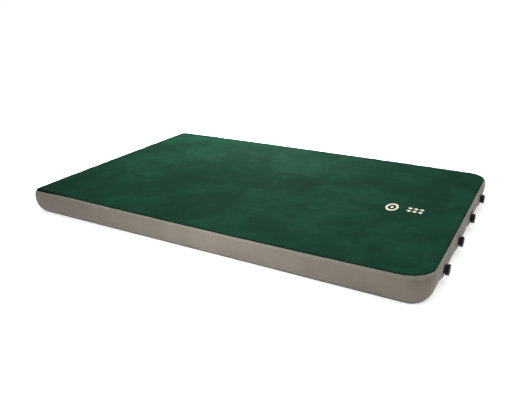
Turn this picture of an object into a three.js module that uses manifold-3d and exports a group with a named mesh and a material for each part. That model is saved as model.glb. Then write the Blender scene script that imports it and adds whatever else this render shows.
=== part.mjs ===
// A double self-inflating camping mattress with box walls and four screw valves on one short end.
// Millimetres. +X is the mattress's length, towards the valves, +Y its width, +Z up.
// The origin is on the floor, under the mattress's centre.

import * as THREE from "three";
import { mergeVertices } from "three/addons/utils/BufferGeometryUtils.js";
import Module from "manifold-3d";

const wasm = await Module();
wasm.setup();

// ---- mattress, driving sizes ----
const MAT_LENGTH = 2000; // wall to wall, without the valves
const MAT_WIDTH = 1300;
const MAT_THICKNESS = 120;
const VALVE_END_CORNER = 90; // corner radii in plan, at the wall's fullest line
const FOOT_END_CORNER = 38;
const EDGE_ROLL = 12; // how far the seams lie inside the wall's fullest line
const SKIN = 1; // coated fabric
const LAMINATION = 0.3; // glue line between skins and foam
const SEAM_LAP = 10; // height of the top and bottom sheets' turned rims
const WALL_EDGE = 2; // wall band's edge below the sheet that laps it

const TAPE_WIDTH = 30; // tape over the wall band's butt joint
const WALL_JOINT_GAP = 0.6;

const FOAM_BORE = 46; // cross bores that lighten the foam
const FOAM_BORE_PITCH = 100;
const FOAM_BORE_END = 130; // from the mattress's ends to the nearest bore

// ---- valves, driving sizes ----
const VALVE_COUNT = 4;
const VALVE_PITCH = 277;
const GRIP_DIAMETER = 46; // over the grip rims of insert and cap
const FLUTES = 12;
const FLUTE_DEPTH = 2.4;
const INSERT_RIM = 6; // thickness of the insert's grip rim
const CAP_RIM = 5.4;
const CAP_DOME = 1.6;

const BASE_BORE = 33; // bore that the insert screws into
const BASE_WALL = 2;
const BASE_DEPTH = 21; // from the wall's outer face to the barrel's inner end
const BASE_NECK = 4; // what stands out of the wall
const FLANGE_DIAMETER = 64;
const FLANGE_THICKNESS = 2.5;
const POCKET_MARGIN = 3; // room in the foam round the flange and behind the barrel

const THROAT = 20; // bore that the air goes through
const INSERT_DEPTH = 16; // from the wall's outer face to the membrane's seat
const SPIDER = 2; // thickness of the bars across the throat
const SPIDER_BAR = 3;
const STEM = 2.2; // diameter of the membrane's stem
const STEM_HUB = 7;
const STEM_HEAD = 4.2;
const MEMBRANE_LAP = 2.5; // how far the check disc reaches past the throat
const MEMBRANE_THICKNESS = 0.9;
const MEMBRANE_LIFT = 2.5;

const SEAL_SECTION = 1.6; // both O-rings
const PLUG_DEPTH = 4.4; // how far the cap's plug reaches into the throat
const PLUG_TAPER = 0.9;

const HINGE_PIN = 2;
const HINGE_BARREL = 5.6;
const HINGE_OFFSET = 3.4; // from the grip rims to the hinge axis
const HINGE_TONGUE = 6;
const HINGE_EAR = 2.6;

// ---- clearances ----
const FIT = 0.3; // between pieces that touch
const TURNING_FIT = 0.7; // between pieces that turn in each other, whose rounds are polygons
const PLUG_FIT = 0.5; // between the cap's plug and the throat

// ---- fineness of round shapes ----
const ROUND = 16;
const SMALL_ROUND = 8;
const SEAL_SIDES = 4;
const CORNER_STEPS = 6;
const ROLL_STEPS = 3;

// ---- worked-out sizes ----
const LAYER = SKIN + LAMINATION;
const WALL_FACE_X = MAT_LENGTH / 2; // outer face of the wall band at the valves
const VALVE_HEIGHT = MAT_THICKNESS / 2;
const WALL_FLAT = FLANGE_DIAMETER + 2 * POCKET_MARGIN; // upright stretch of the wall
const EDGE_HEIGHT = (MAT_THICKNESS - WALL_FLAT) / 2;
const BASE_BODY = BASE_BORE + 2 * BASE_WALL;
const INSERT_BODY = BASE_BORE - 2 * TURNING_FIT;
const PLUG = THROAT - 2 * PLUG_FIT;
const MEMBRANE = THROAT + 2 * MEMBRANE_LAP;
const SEAT = SEAL_SECTION + 2 * FIT; // room that a seal takes between two faces
const INSERT_RIM_Z = BASE_NECK + SEAT;
const INSERT_FACE_Z = INSERT_RIM_Z + INSERT_RIM;
const CAP_Z = INSERT_FACE_Z + SEAT;
const GRIP_ROOT = GRIP_DIAMETER / 2 - FLUTE_DEPTH - FIT; // inside every flute
const HINGE_Y = GRIP_DIAMETER / 2 + HINGE_OFFSET;
const HINGE_Z = (INSERT_FACE_Z + CAP_Z) / 2;
const INSERT_SEAL_DIAMETER = BASE_BODY - SEAL_SECTION;
const CAP_SEAL_DIAMETER = PLUG + SEAL_SECTION + 2 * FIT;

// ---- materials ----
function finish(color, roughness, metalness = 0) {
  return new THREE.MeshStandardMaterial({ color, roughness, metalness });
}
const brushedGreen = () => finish(0x234f3b, 0.95);
const taupeFabric = () => finish(0x857d70, 0.8);
const greyTape = () => finish(0x6e675c, 0.7);
const paleFoam = () => finish(0xcfc6a8, 1);
const blackPlastic = () => finish(0x121212, 0.45);
const softSilicone = () => finish(0x3a3a3a, 0.6);
const steel = () => finish(0xa8a8a8, 0.35, 1);

// ---- solids ----
function solid(geometry) {
  const bare = geometry.clone();
  bare.deleteAttribute("normal");
  bare.deleteAttribute("uv");
  const merged = mergeVertices(bare, 1e-4);
  const vertProperties = new Float32Array(merged.attributes.position.array);
  const triVerts = new Uint32Array(merged.index.array);
  return new wasm.Manifold(new wasm.Mesh({ numProp: 3, vertProperties, triVerts }));
}

function geometryOf(body) {
  const { vertProperties, triVerts } = body.getMesh();
  const geometry = new THREE.BufferGeometry();
  geometry.setAttribute("position", new THREE.BufferAttribute(new Float32Array(vertProperties), 3));
  geometry.setIndex(new THREE.BufferAttribute(new Uint32Array(triVerts), 1));
  return geometry;
}

function block(low, high) {
  const size = high.map((value, i) => value - low[i]);
  const geometry = new THREE.BoxGeometry(...size);
  geometry.translate(...low.map((value, i) => value + size[i] / 2));
  return solid(geometry);
}

// A solid turned about Z from [radius, height] points that run upwards on the outside.
function turned(points, segments = ROUND) {
  const profile = points.map(([r, z]) => new THREE.Vector2(r, z));
  return solid(new THREE.LatheGeometry(profile, segments).rotateX(Math.PI / 2));
}

function rod(diameter, low, high, segments = ROUND) {
  const r = diameter / 2;
  return turned([[0, low], [r, low], [r, high], [0, high]], segments);
}

function oRing(diameter, z) {
  const geometry = new THREE.TorusGeometry(diameter / 2, SEAL_SECTION / 2, SEAL_SIDES, ROUND);
  return solid(geometry.translate(0, 0, z));
}

// A cylinder along local X, for the hinge.
function crossRod(diameter, halfLength, y, z) {
  const geometry = new THREE.CylinderGeometry(
    diameter / 2, diameter / 2, 2 * halfLength, SMALL_ROUND);
  return solid(geometry.rotateZ(Math.PI / 2).translate(0, y, z));
}

// ---- the mattress's rounded slab, one nested skin after another ----
// Depth is counted from the outside of the sheets' rims, which lap the wall band.
function matOutline(depth) {
  const inset = depth - LAYER;
  const halfLength = MAT_LENGTH / 2 - inset;
  const halfWidth = MAT_WIDTH / 2 - inset;
  const valveCorner = VALVE_END_CORNER - inset;
  const footCorner = FOOT_END_CORNER - inset;
  const outline = new THREE.Shape();
  outline.moveTo(-halfLength + footCorner, -halfWidth);
  outline.absarc(halfLength - valveCorner, -halfWidth + valveCorner, valveCorner, -Math.PI / 2, 0);
  outline.absarc(halfLength - valveCorner, halfWidth - valveCorner, valveCorner, 0, Math.PI / 2);
  outline.absarc(-halfLength + footCorner, halfWidth - footCorner, footCorner, Math.PI / 2, Math.PI);
  outline.absarc(-halfLength + footCorner, -halfWidth + footCorner, footCorner, Math.PI, 1.5 * Math.PI);
  return outline;
}

function slab(depth) {
  const edge = EDGE_HEIGHT - depth;
  const geometry = new THREE.ExtrudeGeometry(matOutline(depth + EDGE_ROLL), {
    depth: WALL_FLAT,
    curveSegments: CORNER_STEPS,
    bevelThickness: edge,
    bevelSize: EDGE_ROLL,
    bevelSegments: ROLL_STEPS,
  });
  return solid(geometry.translate(0, 0, EDGE_HEIGHT));
}

function layerAt(depth) {
  return slab(depth).subtract(slab(depth + SKIN));
}

function levels(low, high) {
  return block([-MAT_LENGTH, -MAT_WIDTH, low], [MAT_LENGTH, MAT_WIDTH, high]);
}

const outerLayer = layerAt(0);
const valveRows = Array.from({ length: VALVE_COUNT }, (_, k) => (k - (VALVE_COUNT - 1) / 2) * VALVE_PITCH);

// Puts a solid built about the valve's own axis in its place on the wall.
function atValve(body, y) {
  return body.rotate([0, 90, 0]).translate([WALL_FACE_X, y, VALVE_HEIGHT]);
}

function sideWall() {
  const band = layerAt(LAYER).intersect(levels(LAYER + WALL_EDGE, MAT_THICKNESS - LAYER - WALL_EDGE));
  const half = WALL_JOINT_GAP / 2;
  const joint = block([-MAT_LENGTH, -half, 0], [0, half, MAT_THICKNESS]);
  const hole = rod(BASE_BODY + 2 * FIT, -EDGE_ROLL, EDGE_ROLL);
  return valveRows.reduce((wall, y) => wall.subtract(atValve(hole, y)), band.subtract(joint));
}

function wallJointTape() {
  const low = [-MAT_LENGTH, -TAPE_WIDTH / 2, SEAM_LAP + FIT];
  const high = [0, TAPE_WIDTH / 2, MAT_THICKNESS - SEAM_LAP - FIT];
  return outerLayer.intersect(block(low, high));
}

function foamCore() {
  const bores = Math.floor((MAT_LENGTH - 2 * FOAM_BORE_END) / FOAM_BORE_PITCH) + 1;
  const bore = solid(new THREE.CylinderGeometry(FOAM_BORE / 2, FOAM_BORE / 2, 2 * MAT_WIDTH, SMALL_ROUND));
  let foam = slab(2 * LAYER);
  for (let i = 0; i < bores; i += 1) {
    const x = (i - (bores - 1) / 2) * FOAM_BORE_PITCH;
    foam = foam.subtract(bore.translate([x, 0, MAT_THICKNESS / 2]));
  }
  const pocket = rod(FLANGE_DIAMETER + 2 * POCKET_MARGIN, -BASE_DEPTH - POCKET_MARGIN, EDGE_ROLL);
  return valveRows.reduce((rest, y) => rest.subtract(atValve(pocket, y)), foam);
}

// ---- valve pieces, built about their own axis: z = 0 is the wall's outer face, +Z outwards ----
function gripOutline() {
  const outline = new THREE.Shape();
  const steps = 4 * FLUTES;
  for (let i = 0; i < steps; i += 1) {
    const turn = (2 * Math.PI * i) / steps;
    const dip = FLUTE_DEPTH * (0.5 - 0.5 * Math.cos(turn * FLUTES));
    const r = GRIP_DIAMETER / 2 - dip;
    const point = [r * Math.sin(turn), r * Math.cos(turn)];
    if (i === 0) outline.moveTo(...point);
    else outline.lineTo(...point);
  }
  return outline;
}

function gripRim(low, high) {
  const geometry = new THREE.ExtrudeGeometry(gripOutline(), { depth: high - low, bevelEnabled: false });
  return solid(geometry.translate(0, 0, low));
}

function valveBase() {
  const flangeTop = -SKIN - FIT;
  const barrel = rod(BASE_BODY, -BASE_DEPTH, BASE_NECK);
  const flange = rod(FLANGE_DIAMETER, flangeTop - FLANGE_THICKNESS, flangeTop);
  return barrel.add(flange).subtract(rod(BASE_BORE, -BASE_DEPTH - 1, BASE_NECK + 1));
}

function hingeEars() {
  const inner = HINGE_TONGUE / 2 + FIT;
  const outer = inner + HINGE_EAR;
  const knuckles = crossRod(HINGE_BARREL, outer, HINGE_Y, HINGE_Z);
  const reach = HINGE_Y + HINGE_BARREL / 2;
  const near = HINGE_Y - HINGE_BARREL / 2;
  const arm = block([-outer, GRIP_ROOT, INSERT_RIM_Z], [outer, reach, INSERT_FACE_Z - FIT]);
  const post = block([-outer, near, INSERT_RIM_Z], [outer, reach, HINGE_Z]);
  const slotFloor = HINGE_Z - HINGE_BARREL / 2 - FIT;
  const slot = block([-inner, near - FIT, slotFloor], [inner, reach + FIT, CAP_Z + HINGE_BARREL]);
  const eye = crossRod(HINGE_PIN + 2 * FIT, 2 * outer, HINGE_Y, HINGE_Z);
  return knuckles.add(arm).add(post).subtract(slot).subtract(eye);
}

function valveInsert() {
  const barrel = rod(INSERT_BODY, -INSERT_DEPTH, INSERT_RIM_Z + INSERT_RIM / 2);
  const throat = rod(THROAT, -INSERT_DEPTH - 1, INSERT_FACE_Z + 1);
  const shell = barrel.add(gripRim(INSERT_RIM_Z, INSERT_FACE_Z)).add(hingeEars()).subtract(throat);
  const top = -INSERT_DEPTH + SPIDER;
  const reach = (THROAT + INSERT_BODY) / 4;
  const across = block([-reach, -SPIDER_BAR / 2, -INSERT_DEPTH], [reach, SPIDER_BAR / 2, top]);
  const along = block([-SPIDER_BAR / 2, -reach, -INSERT_DEPTH], [SPIDER_BAR / 2, reach, top]);
  const hub = rod(STEM_HUB, -INSERT_DEPTH, top, SMALL_ROUND);
  const eye = rod(STEM + 2 * FIT, -INSERT_DEPTH - 1, top + 1, SMALL_ROUND);
  return shell.add(across).add(along).add(hub).subtract(eye);
}

function membrane() {
  const seat = -INSERT_DEPTH - FIT;
  const stemTop = -INSERT_DEPTH + SPIDER + MEMBRANE_LIFT + FIT;
  const disc = rod(MEMBRANE, seat - MEMBRANE_THICKNESS, seat);
  const stem = rod(STEM, seat - MEMBRANE_THICKNESS / 2, stemTop + FIT, SMALL_ROUND);
  const head = rod(STEM_HEAD, stemTop, stemTop + STEM / 2, SMALL_ROUND);
  return disc.add(stem).add(head);
}

function valveCap() {
  const face = CAP_Z + CAP_RIM;
  const middle = CAP_Z + CAP_RIM / 2;
  const dome = turned([[0, middle], [GRIP_ROOT, middle], [GRIP_ROOT, face], [0, face + CAP_DOME]]);
  const tip = INSERT_FACE_Z - PLUG_DEPTH;
  const plug = turned([[0, tip], [PLUG / 2 - PLUG_TAPER, tip], [PLUG / 2, INSERT_FACE_Z],
    [PLUG / 2, middle], [0, middle]]);
  const half = HINGE_TONGUE / 2;
  const knuckle = crossRod(HINGE_BARREL, half, HINGE_Y, HINGE_Z);
  const tongue = block(
    [-half, GRIP_ROOT, INSERT_FACE_Z + 2 * FIT], [half, HINGE_Y, HINGE_Z + HINGE_BARREL / 2]);
  const eye = crossRod(HINGE_PIN + 2 * FIT, 2 * half, HINGE_Y, HINGE_Z);
  return gripRim(CAP_Z, face).add(dome).add(plug).add(knuckle).add(tongue).subtract(eye);
}

function capHingePin() {
  return crossRod(HINGE_PIN, HINGE_TONGUE / 2 + FIT + HINGE_EAR, HINGE_Y, HINGE_Z);
}

// ---- assembly ----
const mattress = new THREE.Group();

function addPiece(parent, name, body, material) {
  const mesh = new THREE.Mesh(geometryOf(body), material);
  mesh.name = name;
  parent.add(mesh);
}

addPiece(mattress, "top_sheet", outerLayer.intersect(levels(MAT_THICKNESS - SEAM_LAP, MAT_THICKNESS + 1)),
  brushedGreen());
addPiece(mattress, "bottom_sheet", outerLayer.intersect(levels(-1, SEAM_LAP)), taupeFabric());
addPiece(mattress, "side_wall", sideWall(), taupeFabric());
addPiece(mattress, "wall_joint_tape", wallJointTape(), greyTape());
addPiece(mattress, "foam_core", foamCore(), paleFoam());

valveRows.forEach((y, k) => {
  const valve = new THREE.Group();
  valve.position.set(WALL_FACE_X, y, VALVE_HEIGHT);
  valve.rotation.y = Math.PI / 2;
  mattress.add(valve);
  const add = (name, body, material) => addPiece(valve, `${name}_${k + 1}`, body, material);
  add("valve_base", valveBase(), blackPlastic());
  add("insert_seal", oRing(INSERT_SEAL_DIAMETER, BASE_NECK + SEAT / 2), softSilicone());
  add("valve_insert", valveInsert(), blackPlastic());
  add("membrane", membrane(), softSilicone());
  add("cap_seal", oRing(CAP_SEAL_DIAMETER, INSERT_FACE_Z + SEAT / 2), softSilicone());
  add("valve_cap", valveCap(), blackPlastic());
  add("cap_hinge_pin", capHingePin(), steel());
});

export default mattress;
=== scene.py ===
"""A double self-inflating camping mattress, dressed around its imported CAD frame.

Lengths are metres. +X runs along the mattress to the valve end, +Y across it, +Z up.
The skin is grown from one grid by extruding rings, blown up as cloth, and cut into its three panels.
"""

import math
from collections import namedtuple
from itertools import product

import bmesh
import bpy
from mathutils import Matrix, Vector, noise


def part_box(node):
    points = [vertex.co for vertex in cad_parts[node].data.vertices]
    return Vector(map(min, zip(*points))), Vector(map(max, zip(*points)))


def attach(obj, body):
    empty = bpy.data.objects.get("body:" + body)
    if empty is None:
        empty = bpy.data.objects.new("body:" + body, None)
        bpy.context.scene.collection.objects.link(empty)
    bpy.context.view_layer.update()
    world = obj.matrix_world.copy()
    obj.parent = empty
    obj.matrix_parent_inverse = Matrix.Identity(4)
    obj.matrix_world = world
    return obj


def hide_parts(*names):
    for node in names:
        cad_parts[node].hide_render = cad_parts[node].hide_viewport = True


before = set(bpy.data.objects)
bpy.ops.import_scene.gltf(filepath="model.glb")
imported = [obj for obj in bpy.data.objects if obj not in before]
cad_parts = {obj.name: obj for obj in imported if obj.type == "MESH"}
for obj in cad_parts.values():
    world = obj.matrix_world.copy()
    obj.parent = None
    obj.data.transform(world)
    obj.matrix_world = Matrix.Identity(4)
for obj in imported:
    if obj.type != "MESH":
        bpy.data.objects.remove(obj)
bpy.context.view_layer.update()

MM = 0.001
UP = Vector((0, 0, 1))

# ---- sizes taken from the frame ----
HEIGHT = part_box("top_sheet")[1].z
VALVE_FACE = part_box("side_wall")[1].x
HALF_LENGTH = VALVE_FACE
HALF_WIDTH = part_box("side_wall")[1].y
VALVES = range(1, 5)


def valve_axis(k):
    """The point where a valve's axis meets the wall's outer face."""
    low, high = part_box(f"valve_base_{k}")
    return Vector((VALVE_FACE, (low.y + high.y) / 2, (low.z + high.z) / 2))


VALVE_CENTRES = {k: valve_axis(k) for k in VALVES}


# ---- the skin's section, from the top seam round to the floor ----
Ring = namedtuple("Ring", "inset height foot_radius valve_radius end_bow side_bow")

SEAM_DROP = 7 * MM  # from the top down to the lower edge of the top sheet's rim
EDGE_DROP = 2 * MM  # how far the top edge's roll comes down before the rim turns upright
ROLL = 15 * MM  # width of the top edge's roll
SEAM_LINE = Ring(8.2 * MM, HEIGHT - SEAM_DROP, 24 * MM, 119 * MM, 1.5 * MM, 11 * MM)
FULLEST_LINE = Ring(0, 70 * MM, 29 * MM, 99 * MM, 1.3 * MM, 0)
FLOOR_LINE = Ring(26.5 * MM, 0, 66 * MM, 60 * MM, 12 * MM, 1 * MM)
TIGHTER_CORNER = 0.78  # one valve-end corner is drawn in tighter than the other
PANEL_INSET = 130 * MM  # where the regular middle of a panel starts
CLOTH = 0.9 * MM
FOAM_GAP = 9.5 * MM

# ---- how finely the skin is divided ----
CELLS_LONG = 100
CELLS_WIDE = 64
CORNER_CELLS = 8  # on each half of a rounded corner
PANEL_ROWS = 3
ROLL_ROWS = 5
UPPER_ROWS = 5
LOWER_ROWS = 8
SEAM_ROW = PANEL_ROWS + 1 + ROLL_ROWS
FULLEST_ROW = SEAM_ROW + UPPER_ROWS
FLOOR_ROW = FULLEST_ROW + LOWER_ROWS
HEM_ROW = FLOOR_ROW - 2  # where the bottom sheet's rim ends
LAST_ROW = FLOOR_ROW + PANEL_ROWS + 1


# ---- small tools ----
def new_object(name, mesh):
    made = bpy.data.objects.new(name, mesh)
    bpy.context.scene.collection.objects.link(made)
    return made


def finished(name, bm, material, body, replaced):
    """Turns a bmesh into a smooth-shaded piece that rides on a body in place of a frame node."""
    mesh = bpy.data.meshes.new(name)
    for face in bm.faces:
        face.smooth = True
    bm.to_mesh(mesh)
    bm.free()
    mesh.materials.append(material)
    made = new_object(name, mesh)
    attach(made, body)
    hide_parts(replaced)
    return made


def thicken(piece, thickness):
    """Gives a sheet its cloth's thickness, inwards."""
    skin = piece.modifiers.new("thickness", "SOLIDIFY")
    skin.thickness = thickness
    skin.offset = -1
    skin.use_even_offset = True


def soften(piece):
    finer = piece.modifiers.new("finer", "SUBSURF")
    finer.levels = 1
    finer.render_levels = 1


def ease(value, low, high):
    """A soft step from 0 at low to 1 at high."""
    share = min(1, max(0, (value - low) / (high - low)))
    return share * share * (3 - 2 * share)


# ---- the skin: one closed form made of rings ----
def rim_direction(u, v, long_cells, wide_cells):
    """Where a point of the grid's rim lies round the mattress.

    Gives its outward direction in plan and its place on the straight sides, from -1 to 1.
    """
    side_x = math.copysign(1, u)
    side_y = math.copysign(1, v)
    from_corner = max((1 - abs(u)) * long_cells, (1 - abs(v)) * wide_cells) / 2
    on_long_side = abs(v) > 1 - 1e-4
    if from_corner < CORNER_CELLS:
        turn = math.radians(45) * (1 - from_corner / CORNER_CELLS)
        across, along = math.cos(turn), math.sin(turn)
        place = 1
    else:
        across, along = 1, 0
        cells = long_cells if on_long_side else wide_cells
        place = 1 - (from_corner - CORNER_CELLS) / (cells / 2 - CORNER_CELLS)
    if on_long_side:
        return Vector((side_x * along, side_y * across, 0)), Vector((side_x * place, side_y, 0))
    return Vector((side_x * across, side_y * along, 0)), Vector((side_x, side_y * place, 0))


def on_ring(outward, place, ring, gap=0):
    """The point of a ring in a given direction, gap inside it."""
    radius = ring.valve_radius if place.x > 0 else ring.foot_radius
    if place.x > 0 and place.y > 0:
        radius *= TIGHTER_CORNER
    x = place.x * (HALF_LENGTH - ring.inset - radius) + outward.x * (radius - gap)
    y = place.y * (HALF_WIDTH - ring.inset - radius) + outward.y * (radius - gap)
    x -= outward.x * ring.end_bow * place.y ** 2
    y -= outward.y * ring.side_bow * place.x ** 2
    return Vector((x, y, ring.height))


def between(first, second, share, height):
    """A ring part of the way from one to another, at a height."""
    return Ring(*(a + (b - a) * share for a, b in zip(first, second)))._replace(height=height)


def section_rings():
    """The rings from the top edge's roll down to the floor."""
    rings = []
    for step in range(ROLL_ROWS):
        turn = math.radians(90) * step / (ROLL_ROWS - 1)
        inset = SEAM_LINE.inset + ROLL * (1 - math.sin(turn))
        height = HEIGHT - EDGE_DROP * (1 - math.cos(turn))
        rings.append(SEAM_LINE._replace(inset=inset, height=height))
    rings.append(SEAM_LINE)
    for step in range(1, UPPER_ROWS + 1):
        turn = math.radians(90) * step / UPPER_ROWS
        height = FULLEST_LINE.height + (SEAM_LINE.height - FULLEST_LINE.height) * math.cos(turn)
        rings.append(between(FULLEST_LINE, SEAM_LINE, 1 - math.sin(turn), height))
    for step in range(1, LOWER_ROWS + 1):
        turn = math.radians(90) * step / LOWER_ROWS
        height = FULLEST_LINE.height * (1 - math.sin(turn))
        rings.append(between(FULLEST_LINE, FLOOR_LINE, 1 - math.cos(turn), height))
    return rings


def middle_grid(bm, height, row, layers, long_cells, wide_cells):
    """The regular middle of a panel. Its rim's points learn where they lie round the mattress."""
    outward_layer, place_layer, row_layer = layers
    made = bmesh.ops.create_grid(bm, x_segments=long_cells, y_segments=wide_cells, size=1)["verts"]
    for v in made:
        v[row_layer] = row
        if max(abs(v.co.x), abs(v.co.y)) > 1 - 1e-4:
            outward, place = rim_direction(v.co.x, v.co.y, long_cells, wide_cells)
            v[outward_layer] = outward
            v[place_layer] = place
        v.co.x *= HALF_LENGTH - PANEL_INSET
        v.co.y *= HALF_WIDTH - PANEL_INSET
        v.co.z = height
    return [e for v in made for e in v.link_edges if e.is_boundary]


def next_row(bm, edges, row, row_layer):
    """Extrudes a rim outward. Gives the new rim's edges and points."""
    grown = bmesh.ops.extrude_edge_only(bm, edges=edges)["geom"]
    points = [g for g in grown if isinstance(g, bmesh.types.BMVert)]
    for v in points:
        v[row_layer] = row
    return [g for g in grown if isinstance(g, bmesh.types.BMEdge) and g.is_boundary], points


def closed_form(long_cells=CELLS_LONG, wide_cells=CELLS_WIDE, gap=0):
    """The whole inflated form, gap inside the skin's outer face."""
    bm = bmesh.new()
    layers = (
        bm.verts.layers.float_vector.new("outward"),
        bm.verts.layers.float_vector.new("place"),
        bm.verts.layers.int.new("row"),
    )
    outward_layer, place_layer, row_layer = layers
    rings = section_rings()

    def squeezed(height):
        return min(HEIGHT - gap, max(gap, height))

    def panel_rows(edges, first_row, rim, steps):
        for row, share in enumerate(steps, first_row):
            edges, points = next_row(bm, edges, row, row_layer)
            for v in points:
                place = v[place_layer]
                square = on_square(v[outward_layer], place, long_cells, wide_cells)
                edge = on_ring(v[outward_layer], place, rim, gap)
                v.co = square.lerp(edge, share)
                v.co.z = squeezed(rim.height)
        return edges

    rim = list(set(middle_grid(bm, squeezed(HEIGHT), 0, layers, long_cells, wide_cells)))
    inner = [step / (PANEL_ROWS + 1) for step in range(1, PANEL_ROWS + 1)]
    rim = panel_rows(rim, 1, rings[0], inner)
    for row, ring in enumerate(rings, PANEL_ROWS + 1):
        rim, points = next_row(bm, rim, row, row_layer)
        for v in points:
            v.co = on_ring(v[outward_layer], v[place_layer], ring, gap)
            v.co.z = squeezed(v.co.z)
    panel_rows(rim, FLOOR_ROW + 1, rings[-1], inner[::-1] + [0])
    middle_grid(bm, squeezed(0), LAST_ROW, layers, long_cells, wide_cells)
    last = [v for v in bm.verts if v[row_layer] == LAST_ROW]
    bmesh.ops.remove_doubles(bm, verts=last, dist=0.5 * MM)
    bmesh.ops.recalc_face_normals(bm, faces=bm.faces)
    return bm


def on_square(outward, place, long_cells, wide_cells):
    """The point on the middle grid's square rim that a rim point grew from."""
    half_x = HALF_LENGTH - PANEL_INSET
    half_y = HALF_WIDTH - PANEL_INSET
    corner_x = 2 * half_x * CORNER_CELLS / long_cells
    corner_y = 2 * half_y * CORNER_CELLS / wide_cells
    turn = math.degrees(math.atan2(abs(outward.x), abs(outward.y))) / 45
    side_x = math.copysign(1, place.x)
    side_y = math.copysign(1, place.y)
    if turn <= 1:
        x = side_x * (half_x - corner_x * (1 - turn)) if turn > 0 else place.x * (half_x - corner_x)
        return Vector((x, side_y * half_y, 0))
    y = side_y * (half_y - corner_y * (turn - 1)) if turn < 2 else place.y * (half_y - corner_y)
    return Vector((side_x * half_x, y, 0))


# ---- inflating it ----
CLOTH_FRAMES = 20
CLOTH_PRESSURE = 4
MOST_SWELL = 3 * MM
EASE_IN_CLOTH = -0.003  # the cut is this much larger than the form it is held in


def inflate(bm):
    """Blows the form up as cloth whose flat panels are held by the foam."""
    row_layer = bm.verts.layers.int["row"]
    rows = [v[row_layer] for v in bm.verts]
    before = [v.co.copy() for v in bm.verts]
    mesh = bpy.data.meshes.new("inflating")
    bm.to_mesh(mesh)
    body = new_object("inflating", mesh)
    held = body.vertex_groups.new(name="held")
    for index, row in enumerate(rows):
        weight = 1 if row <= PANEL_ROWS + 1 or row >= HEM_ROW else 0
        if SEAM_ROW - 1 <= row <= SEAM_ROW + 1:
            weight = 0.5
        held.add([index], weight, "REPLACE")
    cloth = body.modifiers.new("cloth", "CLOTH")
    settings = cloth.settings
    settings.quality = 6
    settings.mass = 0.3
    settings.tension_stiffness = 40
    settings.compression_stiffness = 40
    settings.shear_stiffness = 20
    settings.bending_stiffness = 0.6
    settings.use_pressure = True
    settings.uniform_pressure_force = CLOTH_PRESSURE
    settings.shrink_min = EASE_IN_CLOTH
    settings.vertex_group_mass = "held"
    settings.effector_weights.gravity = 0
    cloth.collision_settings.use_collision = False
    scene = bpy.context.scene
    for number in range(1, CLOTH_FRAMES + 1):
        scene.frame_set(number)
    blown = body.evaluated_get(bpy.context.evaluated_depsgraph_get()).to_mesh()
    for v, rest, moved in zip(bm.verts, before, blown.vertices):
        swell = moved.co - rest
        if swell.length > MOST_SWELL:
            swell = swell.normalized() * MOST_SWELL
        v.co = rest + swell
        v.co.z = max(0, v.co.z)
    bpy.data.objects.remove(body)
    scene.frame_set(1)


# ---- shaping: gathers at the corners, soft dips in the top ----
GATHERS = 4.5  # round each corner
GATHER_FADE = 2.2  # rows above and below the seam over which the gathers die away
GATHER_ENDS = math.radians(25)  # they grow over this turn from each end of a corner
FOOT_GATHERS = 0.15  # how strong they are at the foot end
GATHER_DEPTH = 2.6 * MM
FOOT_DROP = 4 * MM  # the seam sits lower and further out at the foot end's corners
FOOT_SPREAD = 5 * MM
TOP_DIP = 1.1 * MM
TOP_DIP_SIZE = 0.22


def top_dip(x, y):
    """How far the top stands from its flat at a point."""
    spread = Vector((x / TOP_DIP_SIZE, y / TOP_DIP_SIZE, 0.7))
    edge = min(HALF_LENGTH - abs(x), HALF_WIDTH - abs(y))
    return TOP_DIP * noise.noise(spread) * ease(edge, 0.02, 0.12)


def gather(v, layers):
    """Small scallops in the wall's cloth where it turns a corner under the top seam."""
    outward, row = v[layers[0]], v[layers[2]]
    if not SEAM_ROW - 1 <= row <= FULLEST_ROW + 2:
        return
    turn = math.atan2(abs(outward.y), abs(outward.x))
    turned_in = ease(min(turn, math.radians(90) - turn), 0, GATHER_ENDS)
    from_seam = abs(row - SEAM_ROW - 1)
    strength = math.exp(-from_seam / GATHER_FADE) * turned_in
    if v[layers[1]].x < 0:
        strength *= FOOT_GATHERS
    wave = math.sin(turn * 4 * GATHERS + outward.y)
    v.co += outward * GATHER_DEPTH * strength * wave
    v.co.z += 0.8 * GATHER_DEPTH * strength * wave


def drop_foot_corner(v, layers):
    """Lets the seam sink and spread at the foot end's corners."""
    place, row = v[layers[1]], v[layers[2]]
    in_corner = ease(-place.x, 0.75, 1) * ease(abs(place.y), 0.75, 1)
    near_seam = max(0, 1 - abs(row - SEAM_ROW) / 5)
    v.co += (v[layers[0]] * FOOT_SPREAD - UP * FOOT_DROP) * in_corner * near_seam


FLANGE_RADIUS = 32 * MM
FLANGE_SPREAD = 47 * MM  # where the cloth is back to its own form


def seat_flange(v):
    """The stiff flange behind the cloth holds it flat round each valve."""
    if v.co.x < 0:
        return
    for centre in VALVE_CENTRES.values():
        off = math.hypot(v.co.y - centre.y, v.co.z - centre.z)
        if off < FLANGE_SPREAD:
            v.co.x += (VALVE_FACE - v.co.x) * (1 - ease(off, FLANGE_RADIUS, FLANGE_SPREAD))


def shaped_skin():
    """The closed form, blown up and shaped."""
    bm = closed_form()
    inflate(bm)
    layers = (
        bm.verts.layers.float_vector["outward"],
        bm.verts.layers.float_vector["place"],
        bm.verts.layers.int["row"],
    )
    for v in bm.verts:
        gather(v, layers)
        drop_foot_corner(v, layers)
        seat_flange(v)
        if v[layers[2]] <= PANEL_ROWS + 1:
            v.co.z += top_dip(v.co.x, v.co.y)
    return bm


# ---- cutting the skin into its panels ----
def panel(skin, first_row, last_row):
    """A copy of the skin between two of its rows."""
    bm = skin.copy()
    row = bm.verts.layers.int["row"]
    spare = [v for v in bm.verts if not first_row <= v[row] <= last_row]
    bmesh.ops.delete(bm, geom=spare, context="VERTS")
    return bm


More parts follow.
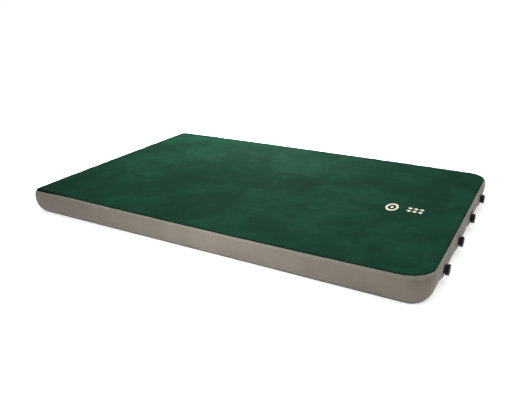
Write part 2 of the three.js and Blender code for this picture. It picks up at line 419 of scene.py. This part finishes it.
def rim_of(bm, row_number):
    """The open edges along one row."""
    row = bm.verts.layers.int["row"]
    return [e for e in bm.edges if e.is_boundary and all(v[row] == row_number for v in e.verts)]


def turn_in(bm, edges, steps):
    """Carries a rim on by (inwards, up) steps, as a hem."""
    outward = bm.verts.layers.float_vector["outward"]
    row = bm.verts.layers.int["row"]
    for inwards, up in steps:
        number = edges[0].verts[0][row]
        edges, points = next_row(bm, edges, number, row)
        for v in points:
            v.co += UP * up - v[outward] * inwards
    return edges


def tuck(bm, row_number, inwards, up):
    """Moves one row in behind its neighbour."""
    outward = bm.verts.layers.float_vector["outward"]
    row = bm.verts.layers.int["row"]
    for v in bm.verts:
        if v[row] == row_number:
            v.co += UP * up - v[outward] * inwards


def top_sheet(skin, material):
    """The top, rolled over the edge, its rim hemmed under."""
    bm = panel(skin, 0, SEAM_ROW)
    turn_in(bm, rim_of(bm, SEAM_ROW), [(0.6 * MM, -0.8 * MM), (2.2 * MM, -0.2 * MM), (2 * MM, 1 * MM)])
    made = finished("top_panel", bm, material, "mattress", "top_sheet")
    thicken(made, CLOTH)
    soften(made)


def bottom_sheet(skin, material):
    """The base, lapped up over the wall's lower rim."""
    bm = panel(skin, HEM_ROW, LAST_ROW)
    turn_in(bm, rim_of(bm, HEM_ROW), [(-0.6 * MM, 1.6 * MM), (1.6 * MM, 0.8 * MM)])
    made = finished("base_panel", bm, material, "mattress", "bottom_sheet")
    thicken(made, CLOTH)
    soften(made)


# ---- the side wall, with its valve holes ----
HOLE_RADIUS = 18.8 * MM
HOLE_RINGS = [  # radius, and how far the cloth stands off the valve face
    (37 * MM, -1.6 * MM),
    (33.5 * MM, -0.6 * MM),
    (32 * MM, 0.3 * MM),
    (30 * MM, 0),
    (24 * MM, 0),
    (HOLE_RADIUS, 0),
]
HOLE_PATCH = 40 * MM


def valve_hole(bm, k):
    """Swaps the cells round a valve for rings that end in its round hole."""
    centre = VALVE_CENTRES[k]
    near = []
    for face in bm.faces:
        middle = face.calc_center_median() - centre
        if abs(middle.y) < HOLE_PATCH and abs(middle.z) < HOLE_PATCH and abs(middle.x) < HOLE_PATCH:
            near.append(face)
    rim = list({e for f in near for e in f.edges if sum(g in near for g in e.link_faces) == 1})
    bmesh.ops.delete(bm, geom=near, context="FACES")
    for radius, stand in HOLE_RINGS:
        grown = bmesh.ops.extrude_edge_only(bm, edges=rim)["geom"]
        points = [g for g in grown if isinstance(g, bmesh.types.BMVert)]
        rim = [g for g in grown if isinstance(g, bmesh.types.BMEdge) and g.is_boundary]
        turns = {v: math.atan2(v.co.z - centre.z, v.co.y - centre.y) for v in points}
        in_order = sorted(points, key=turns.get)
        step = 2 * math.pi / len(points)
        start = sum(turns[v] - i * step for i, v in enumerate(in_order)) / len(points)
        for i, v in enumerate(in_order):
            turn = start + i * step
            v.co = centre + Vector((stand, radius * math.cos(turn), radius * math.sin(turn)))


def side_wall(skin, material):
    """The wall band, tucked under both sheets and holed for the valves. Gives a copy of its cloth."""
    bm = panel(skin, SEAM_ROW, HEM_ROW)
    tuck(bm, SEAM_ROW, 2.4 * MM, -0.6 * MM)
    tuck(bm, HEM_ROW, 1.6 * MM, -0.5 * MM)
    turn_in(bm, rim_of(bm, SEAM_ROW), [(1.5 * MM, 2.5 * MM)])
    turn_in(bm, rim_of(bm, HEM_ROW), [(2 * MM, -1.5 * MM)])
    for k in VALVES:
        valve_hole(bm, k)
    tape_source = bm.copy()
    made = finished("side_band", bm, material, "mattress", "side_wall")
    thicken(made, CLOTH)
    soften(made)
    return tape_source


TAPE_LIFT = 1.1 * MM
TAPE_THICKNESS = 0.5 * MM
TAPE_BOTTOM = 14 * MM


def joint_tape(bm, material):
    """The strip welded over the wall band's butt joint, laid on a copy of the wall there."""
    low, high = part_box("wall_joint_tape")
    cuts = ((1, low.y, True), (1, high.y, False), (2, TAPE_BOTTOM, True), (2, high.z, False))
    for axis, at, keep_above in cuts:
        normal = Vector((0, 0, 0))
        normal[axis] = -1 if keep_above else 1
        spot = Vector((0, 0, 0))
        spot[axis] = at
        parts = list(bm.verts) + list(bm.edges) + list(bm.faces)
        bmesh.ops.bisect_plane(bm, geom=parts, plane_co=spot, plane_no=normal, clear_outer=True)
    bmesh.ops.delete(bm, geom=[v for v in bm.verts if v.co.x > 0], context="VERTS")
    for v in bm.verts:
        v.co.x -= TAPE_LIFT
    made = finished("joint_strip", bm, material, "mattress", "wall_joint_tape")
    thicken(made, TAPE_THICKNESS)
    soften(made)


# ---- the foam block ----
FOAM_CELLS_LONG = 50
FOAM_CELLS_WIDE = 34
BORE_RADIUS = 23 * MM
BORE_PITCH = 100 * MM
BORES = 18
POCKET_RADIUS = 35 * MM
POCKET_DEPTH = 24 * MM


def foam_block(material):
    """Open-cell foam that fills the skin, with cross bores and a pocket behind each valve."""
    bm = closed_form(FOAM_CELLS_LONG, FOAM_CELLS_WIDE, FOAM_GAP)
    cutters = bmesh.new()
    for i in range(BORES):
        x = (i - (BORES - 1) / 2) * BORE_PITCH
        lying = Matrix.Translation((x, 0, HEIGHT / 2)) @ Matrix.Rotation(math.radians(90), 4, "X")
        cylinder(cutters, BORE_RADIUS, 2 * HALF_WIDTH + 0.2, lying)
    for k in VALVES:
        pocket_middle = VALVE_CENTRES[k] + Vector((POCKET_DEPTH, 0, 0))
        lying = Matrix.Translation(pocket_middle) @ Matrix.Rotation(math.radians(90), 4, "Y")
        cylinder(cutters, POCKET_RADIUS, 4 * POCKET_DEPTH, lying)
    made = finished("foam_block", bm, material, "mattress", "foam_core")
    mesh = bpy.data.meshes.new("foam_cutters")
    cutters.to_mesh(mesh)
    cutters.free()
    tool = new_object("foam_cutters", mesh)
    cut = made.modifiers.new("bores", "BOOLEAN")
    cut.operation = "DIFFERENCE"
    cut.solver = "EXACT"
    cut.object = tool
    cored = bpy.data.meshes.new_from_object(made.evaluated_get(bpy.context.evaluated_depsgraph_get()))
    made.modifiers.clear()
    made.data = cored
    bpy.data.objects.remove(tool)


def cylinder(bm, radius, depth, matrix, segments=32):
    """A capped cylinder about a matrix's Z axis."""
    bmesh.ops.create_cone(
        bm,
        cap_ends=True,
        segments=segments,
        radius1=radius,
        radius2=radius,
        depth=depth,
        matrix=matrix,
    )


# ---- valve pieces, in millimetres about their own axis; z = 0 is the wall's outer face ----
LATHE_STEPS = 72
GRIP_RADIUS = 23
GRIP_EDGE = 1.6
FLUTES = 12
FLUTE_DEPTH = 2.4
FLUTES_FROM = 20.3  # everything inside this radius stays round
HINGE_OUT = 26.4
HINGE_UP = 13.3
KNUCKLE = 2.8
TONGUE_HALF = 2.9
EAR_INNER = 3.3
EAR_OUTER = 5.9
GRIP_ROOT = 19.6  # where the ears and the tongue grow out of the grip
PIN_RADIUS = 1
ROD_SIDES = 24


def valve_place(k):
    """Turns the valve's own axes to the wall: its +Z points out along +X."""
    turn = Matrix(((0, 0, 1, 0), (0, 1, 0, 0), (-1, 0, 0, 0), (0, 0, 0, 1)))
    return Matrix.Translation(VALVE_CENTRES[k]) @ turn @ Matrix.Scale(MM, 4)


def lathe(bm, outline, steps=LATHE_STEPS, closed=True):
    """Spins an outline of (radius, height) points about the valve's axis."""
    points = [bm.verts.new((radius, 0, height)) for radius, height in outline]
    edges = [bm.edges.new(pair) for pair in zip(points, points[1:])]
    if closed:
        edges.append(bm.edges.new((points[-1], points[0])))
    bmesh.ops.spin(
        bm,
        geom=points + edges,
        cent=(0, 0, 0),
        axis=(0, 0, 1),
        angle=2 * math.pi,
        steps=steps,
        use_merge=True,
    )
    bmesh.ops.remove_doubles(bm, verts=bm.verts, dist=1e-4)


def flute(bm, low, high):
    """Presses finger flutes into the grip between two heights."""
    for v in bm.verts:
        radius = math.hypot(v.co.x, v.co.y)
        if radius > FLUTES_FROM and low < v.co.z < high:
            turn = math.atan2(v.co.x, v.co.y)
            dip = FLUTE_DEPTH * (0.5 - 0.5 * math.cos(turn * FLUTES)) ** 0.8
            share = (radius - FLUTES_FROM) / (GRIP_RADIUS - FLUTES_FROM)
            scale = (radius - dip * share) / radius
            v.co.x *= scale
            v.co.y *= scale


def ring_seal(bm, radius, section, height, sides=12):
    """A round-section seal."""
    made = bmesh.ops.create_circle(bm, segments=sides, radius=section / 2)["verts"]
    stand = Matrix.Translation((radius, 0, height)) @ Matrix.Rotation(math.radians(90), 4, "X")
    bmesh.ops.transform(bm, matrix=stand, verts=made)
    edges = list({e for v in made for e in v.link_edges})
    bmesh.ops.spin(
        bm,
        geom=made + edges,
        cent=(0, 0, 0),
        axis=(0, 0, 1),
        angle=2 * math.pi,
        steps=LATHE_STEPS,
        use_merge=True,
    )


def box_between(bm, low, high, edge=0.0):
    """A box from one corner to the other, its edges rounded over."""
    made = bmesh.ops.create_cube(bm, size=1)["verts"]
    low, high = Vector(low), Vector(high)
    size = high - low
    for v in made:
        v.co = Vector(a * b for a, b in zip(v.co, size)) + (low + high) / 2
    if edge:
        edges = list({e for v in made for e in v.link_edges})
        bmesh.ops.bevel(
            bm,
            geom=edges,
            offset=edge,
            segments=2,
            profile=0.5,
            affect="EDGES",
            material=-1,
        )


def cross_rod(bm, radius, half, y, z, start=None):
    """A rod along the hinge's line, its ends rounded over."""
    middle = 0 if start is None else (start + half) / 2
    length = 2 * half if start is None else half - start
    turn = Matrix.Translation((middle, y, z)) @ Matrix.Rotation(math.radians(90), 4, "Y")
    first = len(bm.verts)
    cylinder(bm, radius, length, turn, segments=ROD_SIDES)
    bm.verts.ensure_lookup_table()
    ends = [
        f for f in bm.faces
        if len(f.verts) == ROD_SIDES and all(v.index >= first or v.index < 0 for v in f.verts)
    ]
    edges = list({e for f in ends for e in f.edges})
    bmesh.ops.bevel(
        bm,
        geom=edges,
        offset=min(radius, length) * 0.15,
        segments=2,
        profile=0.5,
        affect="EDGES",
        material=-1,
    )


def valve_piece(name, k, bm, material, body, node):
    """Puts a valve piece in its place on the wall."""
    bmesh.ops.recalc_face_normals(bm, faces=bm.faces)
    bmesh.ops.transform(bm, matrix=valve_place(k), verts=bm.verts)
    made = finished(f"{name}_{k}", bm, material, body, f"{node}_{k}")
    sharp = made.modifiers.new("crisp", "WEIGHTED_NORMAL")
    sharp.keep_sharp = True


def base_ring(k, material):
    """The welded base: tube, flange behind the cloth, and the short neck in front."""
    bm = bmesh.new()
    lathe(bm, [
        (16.5, -21), (18.1, -21), (18.5, -20.5), (18.5, -4.2), (19, -3.8), (31.4, -3.8),
        (32, -3.3), (32, -1.8), (31.5, -1.3), (18.5, -1.3), (18.5, 3.4), (18.1, 4), (16.9, 4), (16.5, 3.6),
    ])
    valve_piece("base_ring", k, bm, material, "mattress", "valve_base")


def body_seal(k, material):
    """The ring under the insert's grip."""
    bm = bmesh.new()
    ring_seal(bm, 17.7, 1.6, 5.1)
    valve_piece("body_seal", k, bm, material, f"insert_carrier_{k}", "insert_seal")


def grip_outline(bore, low, high):
    """A disc's section with rounded rims, from its bore out to the grip and back."""
    rim = GRIP_RADIUS
    edge = GRIP_EDGE
    soft = edge * 0.3
    return [
        (bore, low), (FLUTES_FROM - 0.6, low), (rim - edge, low), (rim - soft, low + soft), (rim, low + edge),
        (rim, high - edge), (rim - soft, high - soft), (rim - edge, high),
        (FLUTES_FROM - 0.6, high), (bore, high),
    ]


def valve_body(k, material):
    """The screw-in insert: grip rim, barrel, the bars that carry the check disc, and the cap's hinge ears."""
    bm = bmesh.new()
    lathe(bm, grip_outline(10, 6.2, 12.2))
    flute(bm, 6, 12.4)
    lathe(bm, [(10, -16), (15.4, -16), (15.8, -15.6), (15.8, 6.4), (10, 6.4)])
    for turn in range(3):
        bar = bmesh.new()
        box_between(bar, (-1.5, 2.5, -16), (1.5, 10.6, -14))
        third = Matrix.Rotation(turn * math.radians(120), 3, "Z")
        bmesh.ops.rotate(bar, verts=bar.verts, cent=(0, 0, 0), matrix=third)
        merge_into(bm, bar)
    lathe(bm, [(1.3, -16), (3.3, -16), (3.5, -15.8), (3.5, -14.2), (3.3, -14), (1.3, -14)], steps=24)
    for side in (-1, 1):
        ear = sorted((side * EAR_INNER, side * EAR_OUTER))
        box_between(bm, (ear[0], GRIP_ROOT, 6.3), (ear[1], HINGE_OUT + KNUCKLE, 11.9), 0.4)
        box_between(bm, (ear[0], HINGE_OUT - KNUCKLE, 9), (ear[1], HINGE_OUT + KNUCKLE, HINGE_UP), 0.2)
        cross_rod(bm, KNUCKLE, ear[1], HINGE_OUT, HINGE_UP, start=ear[0])
    valve_piece("valve_body", k, bm, material, f"insert_{k}", "valve_insert")


def merge_into(bm, other):
    """Adds one bmesh to another and frees it."""
    mesh = bpy.data.meshes.new("part")
    other.to_mesh(mesh)
    other.free()
    bm.from_mesh(mesh)
    bpy.data.meshes.remove(mesh)


def check_disc(k, material):
    """The one-way disc on its stem."""
    bm = bmesh.new()
    lathe(bm, [
        (0, -17.2), (12.1, -17.2), (12.5, -16.9), (12.5, -16.6), (12.1, -16.3), (1.1, -16.3), (1.1, -11.2),
        (2.1, -11.2), (2.1, -10.8), (1.5, -10.1), (0, -10.1),
    ], steps=48, closed=False)
    valve_piece("check_disc", k, bm, material, f"check_flap_{k}", "membrane")


def lid_seal(k, material):
    """The ring round the cap's plug."""
    bm = bmesh.new()
    ring_seal(bm, 10.6, 1.6, 13.3)
    valve_piece("lid_seal", k, bm, material, f"cap_{k}", "cap_seal")


def flip_lid(k, material):
    """The flip cap: fluted rim, shallow dome with a pressed ring, plug, and hinge tongue."""
    bm = bmesh.new()
    lathe(bm, [
        (0, 7.8), (7.9, 7.8), (8.6, 8.4), (9.4, 13.2), (9.5, 14.4), (FLUTES_FROM - 0.6, 14.4), (21.9, 14.4),
        (22.7, 14.7), (23, 15.5), (23, 16.8), (22.6, 18.2), (21.7, 19.3), (FLUTES_FROM, 20), (17.4, 20.5),
        (16.9, 20.3), (16.2, 20.3), (15.7, 20.7), (10, 21.2), (4, 21.4), (0, 21.4),
    ], closed=False)
    flute(bm, 14.2, 20.05)
    box_between(bm, (-TONGUE_HALF, GRIP_ROOT, 14.5), (TONGUE_HALF, HINGE_OUT + 0.6, 16.6), 0.4)
    box_between(bm, (-TONGUE_HALF, HINGE_OUT - 1.6, HINGE_UP), (TONGUE_HALF, HINGE_OUT + 1.6, 16.2), 0.2)
    cross_rod(bm, KNUCKLE, TONGUE_HALF, HINGE_OUT, HINGE_UP)
    box_between(bm, (-4.5, -24.2, 15.2), (4.5, -19.8, 17.2), 0.6)
    valve_piece("flip_lid", k, bm, material, f"cap_{k}", "valve_cap")


def hinge_pin(k, material):
    """The cap's steel pin."""
    bm = bmesh.new()
    cross_rod(bm, PIN_RADIUS, EAR_OUTER, HINGE_OUT, HINGE_UP)
    valve_piece("hinge_pin", k, bm, material, f"insert_{k}", "cap_hinge_pin")


# ---- materials ----
def srgb(red, green, blue):
    """A colour given as 0 to 255 on screen, in linear light."""
    def linear(value):
        value /= 255
        return value / 12.92 if value <= 0.04045 else ((value + 0.055) / 1.055) ** 2.4

    return (linear(red), linear(green), linear(blue), 1)


class Recipe:
    """A material being mixed: its surface shader and short ways to add nodes."""

    def __init__(self, name):
        self.material = bpy.data.materials.new(name)
        self.material.use_nodes = True
        self.nodes = self.material.node_tree.nodes
        self.links = self.material.node_tree.links
        self.shader = self.nodes["Principled BSDF"]
        self.place = self.nodes.new("ShaderNodeTexCoord").outputs["Object"]

    def set(self, **values):
        for name, value in values.items():
            self.shader.inputs[name.replace("_", " ")].default_value = value

    def wire(self, source, target):
        self.links.new(source, target)

    def noise(self, scale, detail=2, roughness=0.5):
        node = self.nodes.new("ShaderNodeTexNoise")
        node.inputs["Scale"].default_value = scale
        node.inputs["Detail"].default_value = detail
        node.inputs["Roughness"].default_value = roughness
        self.wire(self.place, node.inputs["Vector"])
        return node.outputs["Fac"]

    def waves(self, scale, direction, distortion=0.0):
        node = self.nodes.new("ShaderNodeTexWave")
        node.bands_direction = direction
        node.inputs["Scale"].default_value = scale
        node.inputs["Distortion"].default_value = distortion
        self.wire(self.place, node.inputs["Vector"])
        return node.outputs["Fac"]

    def ramp(self, fac, stops):
        node = self.nodes.new("ShaderNodeValToRGB")
        elements = node.color_ramp.elements
        while len(elements) < len(stops):
            elements.new(0.5)
        for element, (position, colour) in zip(elements, stops):
            element.position = position
            element.color = colour
        self.wire(fac, node.inputs["Fac"])
        return node.outputs["Color"]

    def mix(self, fac, first, second):
        node = self.nodes.new("ShaderNodeMix")
        node.data_type = "RGBA"
        for value, socket in ((fac, node.inputs[0]), (first, node.inputs[6]), (second, node.inputs[7])):
            if isinstance(value, bpy.types.NodeSocket):
                self.wire(value, socket)
            else:
                socket.default_value = value
        return node.outputs[2]

    def math(self, operation, *values):
        node = self.nodes.new("ShaderNodeMath")
        node.operation = operation
        for value, socket in zip(values, node.inputs):
            if isinstance(value, bpy.types.NodeSocket):
                self.wire(value, socket)
            else:
                socket.default_value = value
        return node.outputs[0]

    def spread(self, value, low, high, to_low=0.0, to_high=1.0):
        node = self.nodes.new("ShaderNodeMapRange")
        self.wire(value, node.inputs["Value"])
        for name, number in (("From Min", low), ("From Max", high), ("To Min", to_low), ("To Max", to_high)):
            node.inputs[name].default_value = number
        return node.outputs["Result"]

    def axes(self):
        node = self.nodes.new("ShaderNodeSeparateXYZ")
        self.wire(self.place, node.inputs[0])
        return node.outputs

    def bump(self, height, distance, strength=1.0, under=None):
        node = self.nodes.new("ShaderNodeBump")
        node.inputs["Distance"].default_value = distance
        node.inputs["Strength"].default_value = strength
        self.wire(height, node.inputs["Height"])
        if under:
            self.wire(under, node.inputs["Normal"])
        return node.outputs["Normal"]

    def colour(self, socket):
        self.wire(socket, self.shader.inputs["Base Color"])

    def roughness(self, socket):
        self.wire(socket, self.shader.inputs["Roughness"])

    def normal(self, socket):
        self.wire(socket, self.shader.inputs["Normal"])


# ---- the two printed marks: plain shapes, near the valve end ----
INK_EDGE = 0.6 * MM
RING_MARK = (0.681, -0.043)
RING_OUTER = 0.028
RING_INNER = 0.019
RING_DOT = 0.007
DOTS_MARK = (0.786, -0.036)
DOTS_PITCH = (0.026, 0.032)
DOTS_RADIUS = 0.0092
RING_STRETCH = 0.62  # the ring is longer across the mattress than along it


def printed_marks(r):
    """1 where ink lies: a ring with a dot, and two rows of three dots."""
    x, y, _ = r.axes()

    def from_point(px, py, stretch=1.0):
        across = r.math("SUBTRACT", x, px)
        along = r.math("MULTIPLY", r.math("SUBTRACT", y, py), stretch)
        return r.math("SQRT", r.math("ADD", r.math("POWER", across, 2), r.math("POWER", along, 2)))

    def inside(distance, limit):
        return r.spread(distance, limit + INK_EDGE, limit - INK_EDGE)

    centre = from_point(*RING_MARK, RING_STRETCH)
    ring = r.math("MULTIPLY", inside(centre, RING_OUTER), r.math("SUBTRACT", 1.0, inside(centre, RING_INNER)))
    ink = r.math("MAXIMUM", ring, inside(centre, RING_DOT))
    for column, row in product((-1, 0, 1), (-0.5, 0.5)):
        from_dot = from_point(DOTS_MARK[0] + column * DOTS_PITCH[0], DOTS_MARK[1] + row * DOTS_PITCH[1])
        ink = r.math("MAXIMUM", ink, inside(from_dot, DOTS_RADIUS))
    return ink


def brushed_green_knit():
    """Brushed knit: dark green, its nap lying this way and that in soft patches, printed with two marks."""
    r = Recipe("brushed_green_knit")
    patches = r.noise(3.2, 4, 0.55)
    cloudy = r.noise(11, 3, 0.6)
    nap = r.math("ADD", r.math("MULTIPLY", patches, 0.65), r.math("MULTIPLY", cloudy, 0.35))
    colour = r.ramp(nap, [
        (0.36, srgb(13, 37, 26)),
        (0.50, srgb(16, 45, 32)),
        (0.64, srgb(21, 57, 42)),
    ])
    fibres = r.noise(700, 2, 0.7)
    colour = r.mix(0.25, colour, r.ramp(fibres, [(0.3, srgb(9, 29, 21)), (0.7, srgb(25, 65, 48))]))
    height = r.axes()[2]
    ink = printed_marks(r)
    worn = r.math("MULTIPLY", ink, r.spread(fibres, 0.25, 0.5, 0.75, 1.0))
    colour = r.mix(worn, colour, srgb(206, 196, 180))
    # Darkens the top sheet's rolled rim near the seam: painted shade under the roll, together with the seam's
    # dark weld line.
    edge = r.spread(height, HEIGHT - 1.8 * MM, HEIGHT - 3.2 * MM)
    colour = r.mix(edge, colour, srgb(12, 24, 19))
    r.colour(colour)
    r.roughness(r.spread(fibres, 0.3, 0.7, 0.82, 0.98))
    r.set(Sheen_Weight=0.005, Sheen_Roughness=0.4, Specular_IOR_Level=0.004)
    knit = r.math("MULTIPLY", r.waves(220, "X", 2.0), r.waves(260, "Y", 2.0))
    low = r.bump(patches, 1.2 * MM, 0.5)
    mid = r.bump(knit, 0.15 * MM, 0.4, low)
    r.normal(r.bump(fibres, 0.35 * MM, 0.6, mid))
    return r.material


THREAD_PITCH = 0.9 * MM


def weave(r):
    """Plain weave: two crossed sets of threads, the same on every upright face."""
    threads = 3.2 / (THREAD_PITCH * 2 * math.pi)
    warp = r.waves(threads, "Z")
    weft = r.waves(threads, "DIAGONAL")
    return r.math("MULTIPLY", warp, weft)


def taupe_polyester():
    """Coated plain-weave polyester in warm grey, with a painted pale green highlight under the seam and
    painted shade along the floor.
    """
    r = Recipe("taupe_polyester")
    cloudy = r.noise(6, 3, 0.55)
    colour = r.ramp(cloudy, [(0.3, srgb(79, 73, 65)), (0.7, srgb(90, 84, 75))])
    threads = weave(r)
    colour = r.mix(r.math("MULTIPLY", threads, 0.3), colour, srgb(100, 93, 84))
    slubs = r.noise(900, 1, 0.6)
    colour = r.mix(0.12, colour, r.ramp(slubs, [(0.35, srgb(62, 57, 50)), (0.65, srgb(105, 99, 89))]))
    height = r.axes()[2]
    # Painted highlight: a pale green strip of light on the wall just under the seam.
    painted_seam_glow = r.spread(height, HEIGHT - 19 * MM, HEIGHT - 8 * MM)
    colour = r.mix(r.math("MULTIPLY", painted_seam_glow, 0.4), colour, srgb(120, 125, 110))
    # Painted shade: the wall darkens near the floor, where it curves under.
    shade = r.spread(height, 14 * MM, 8 * MM)
    colour = r.mix(shade, colour, srgb(26, 22, 19))
    r.colour(colour)
    r.roughness(r.spread(slubs, 0.3, 0.7, 0.62, 0.8))
    r.set(Sheen_Weight=0.08, Sheen_Roughness=0.4, Specular_IOR_Level=0.3)
    low = r.bump(cloudy, 1.5 * MM, 0.35)
    r.normal(r.bump(threads, 0.12 * MM, 0.6, low))
    return r.material


def base_coating():
    """The underside: darker coated cloth with a sprinkle of grip dots."""
    r = Recipe("base_coating")
    dots = r.nodes.new("ShaderNodeTexVoronoi")
    dots.inputs["Scale"].default_value = 90
    dots.inputs["Randomness"].default_value = 0.15
    r.wire(r.place, dots.inputs["Vector"])
    dot = r.spread(dots.outputs["Distance"], 0.3, 0.2)
    cloudy = r.noise(8, 3, 0.55)
    colour = r.ramp(cloudy, [(0.3, srgb(52, 46, 40)), (0.7, srgb(68, 61, 53))])
    r.colour(r.mix(r.math("MULTIPLY", dot, 0.6), colour, srgb(36, 32, 28)))
    r.roughness(r.spread(dot, 0, 1, 0.75, 0.5))
    r.set(Specular_IOR_Level=0.35)
    r.normal(r.bump(dot, 0.3 * MM, 0.8, r.bump(weave(r), 0.12 * MM, 0.5)))
    return r.material


def seam_tape():
    """Heat-welded tape: a smoother, slightly glossy strip with a fine rib."""
    r = Recipe("seam_tape")
    cloudy = r.noise(40, 3, 0.6)
    r.colour(r.ramp(cloudy, [(0.3, srgb(104, 97, 87)), (0.7, srgb(122, 115, 104))]))
    r.roughness(r.spread(cloudy, 0.3, 0.7, 0.4, 0.6))
    ribs = r.waves(180, "Y")
    r.normal(r.bump(ribs, 0.1 * MM, 0.5))
    return r.material


def open_cell_foam():
    """Pale open-cell foam: a mass of small pits."""
    r = Recipe("open_cell_foam")
    cells = r.nodes.new("ShaderNodeTexVoronoi")
    cells.inputs["Scale"].default_value = 420
    r.wire(r.place, cells.inputs["Vector"])
    pits = cells.outputs["Distance"]
    # Painted shade: the foam is darker towards the middle of each pit, where the pits lie deepest.
    colour = r.ramp(pits, [(0.1, srgb(158, 146, 108)), (0.5, srgb(226, 216, 178))])
    r.colour(r.mix(r.math("MULTIPLY", r.noise(5, 2), 0.3), colour, srgb(206, 190, 146)))
    r.set(Roughness=0.95, Subsurface_Weight=0.1)
    r.normal(r.bump(pits, 0.6 * MM, 0.8))
    return r.material


def black_nylon():
    """Moulded nylon: fine spark grain, slightly polished where it is handled."""
    r = Recipe("black_nylon")
    grain = r.noise(2600, 3, 0.65)
    rubbed = r.noise(160, 3, 0.6)
    geometry = r.nodes.new("ShaderNodeNewGeometry")
    # Lighter brownish colour on sharp edges: partly edge wear, partly a painted highlight.
    edge = r.spread(geometry.outputs["Pointiness"], 0.5, 0.58)
    colour = r.ramp(grain, [(0.3, srgb(5, 3, 3)), (0.7, srgb(11, 8, 7))])
    r.colour(r.mix(r.math("MULTIPLY", edge, 0.4), colour, srgb(36, 30, 26)))
    r.roughness(r.spread(rubbed, 0.3, 0.7, 0.36, 0.54))
    r.set(Specular_IOR_Level=0.16)
    r.normal(r.bump(grain, 0.05 * MM, 0.6))
    return r.material


def silicone():
    """Soft silicone with a powdery face."""
    r = Recipe("silicone")
    dust = r.noise(500, 3, 0.6)
    r.colour(r.ramp(dust, [(0.3, srgb(58, 54, 50)), (0.7, srgb(84, 79, 73))]))
    r.roughness(r.spread(dust, 0.3, 0.7, 0.5, 0.7))
    r.set(Subsurface_Weight=0.05)
    r.normal(r.bump(dust, 0.04 * MM, 0.4))
    return r.material


def steel_pin():
    """Drawn steel: fine rings along the pin."""
    r = Recipe("steel_pin")
    draw = r.waves(1600, "Z", 1.0)
    r.colour(r.ramp(draw, [(0.2, srgb(150, 150, 150)), (0.8, srgb(196, 196, 194))]))
    r.roughness(r.spread(draw, 0, 1, 0.25, 0.4))
    r.set(Metallic=1.0)
    r.normal(r.bump(draw, 0.01 * MM, 0.4))
    return r.material


# ---- camera, floor and light ----
CAMERA_AZIMUTH = 29.29
CAMERA_ELEVATION = 21.90
CAMERA_DISTANCE = 2.9194
CAMERA_RIGHT = -0.0321
CAMERA_UP = -0.0044
CAMERA_ROLL = -0.62
CAMERA_LENS = 38.24


def camera():
    """A camera that looks past the middle of the mattress from above its valve end."""
    azimuth = math.radians(CAMERA_AZIMUTH)
    elevation = math.radians(CAMERA_ELEVATION)
    back = Vector((
        math.sin(azimuth) * math.cos(elevation),
        -math.cos(azimuth) * math.cos(elevation),
        math.sin(elevation),
    ))
    right = (-back).cross(UP).normalized()
    up = right.cross(-back)
    roll = math.radians(CAMERA_ROLL)
    rolled_right = right * math.cos(roll) + up * math.sin(roll)
    rolled_up = up * math.cos(roll) - right * math.sin(roll)
    place = Matrix((rolled_right, rolled_up, back)).transposed().to_4x4()
    place.translation = back * CAMERA_DISTANCE + right * CAMERA_RIGHT + up * CAMERA_UP
    data = bpy.data.cameras.new("camera")
    data.lens = CAMERA_LENS
    data.sensor_width = 36
    made = bpy.data.objects.new("camera", data)
    made.matrix_world = place
    bpy.context.scene.collection.objects.link(made)
    bpy.context.scene.camera = made


def soft_light(name, place, size, power, aim):
    """A round soft box pointed at a spot."""
    data = bpy.data.lights.new(name, "AREA")
    data.shape = "DISK"
    data.size = size
    data.energy = power
    made = bpy.data.objects.new(name, data)
    made.location = place
    made.rotation_mode = "QUATERNION"
    made.rotation_quaternion = (Vector(aim) - Vector(place)).to_track_quat("-Z", "Y")
    made.visible_camera = False
    bpy.context.scene.collection.objects.link(made)


def daylight():
    """An even white surround, three soft boxes and a broad light from above."""
    world = bpy.data.worlds.new("studio")
    world.use_nodes = True
    world.node_tree.nodes["Background"].inputs["Color"].default_value = (1, 1, 1, 1)
    world.node_tree.nodes["Background"].inputs["Strength"].default_value = 1.0
    bpy.context.scene.world = world
    soft_light("back_left", (-0.6, 1.4, 0.9), 1.0, 68, (-0.4, 0.4, 0.1))
    soft_light("front", (0.1, -1.5, 0.4), 0.8, 12.5, (0.15, -0.65, 0.06))
    soft_light("valve_end", (2.2, -0.6, 0.35), 0.8, 5.5, (1, -0.2, 0.06))
    overhead = bpy.data.lights.new("overhead", "SUN")
    overhead.energy = 0.3
    overhead.angle = math.radians(70)
    bpy.context.scene.collection.objects.link(bpy.data.objects.new("overhead", overhead))
    bpy.context.scene.view_settings.view_transform = "Standard"


def pale_floor():
    """A plain floor that glows a little, so that it stays pale."""
    bm = bmesh.new()
    bmesh.ops.create_grid(bm, x_segments=1, y_segments=1, size=30)
    mesh = bpy.data.meshes.new("floor")
    bm.to_mesh(mesh)
    bm.free()
    pale = bpy.data.materials.new("floor")
    pale.use_nodes = True
    shader = pale.node_tree.nodes["Principled BSDF"]
    shader.inputs["Base Color"].default_value = (0.93, 0.93, 0.93, 1)
    shader.inputs["Roughness"].default_value = 0.9
    shader.inputs["Specular IOR Level"].default_value = 0.1
    shader.inputs["Emission Color"].default_value = (1, 1, 1, 1)
    shader.inputs["Emission Strength"].default_value = 0.3
    mesh.materials.append(pale)
    ground = new_object("floor", mesh)
    ground.location.z = -0.5 * MM


def build():
    """The whole scene, soft pieces first."""
    camera()
    daylight()
    pale_floor()
    skin = shaped_skin()
    foam_block(open_cell_foam())
    top_sheet(skin, brushed_green_knit())
    bottom_sheet(skin, base_coating())
    tape_source = side_wall(skin, taupe_polyester())
    joint_tape(tape_source, seam_tape())
    skin.free()
    nylon, soft, steel = black_nylon(), silicone(), steel_pin()
    for k in VALVES:
        base_ring(k, nylon)
        body_seal(k, soft)
        valve_body(k, nylon)
        check_disc(k, soft)
        lid_seal(k, soft)
        flip_lid(k, nylon)
        hinge_pin(k, steel)


build()
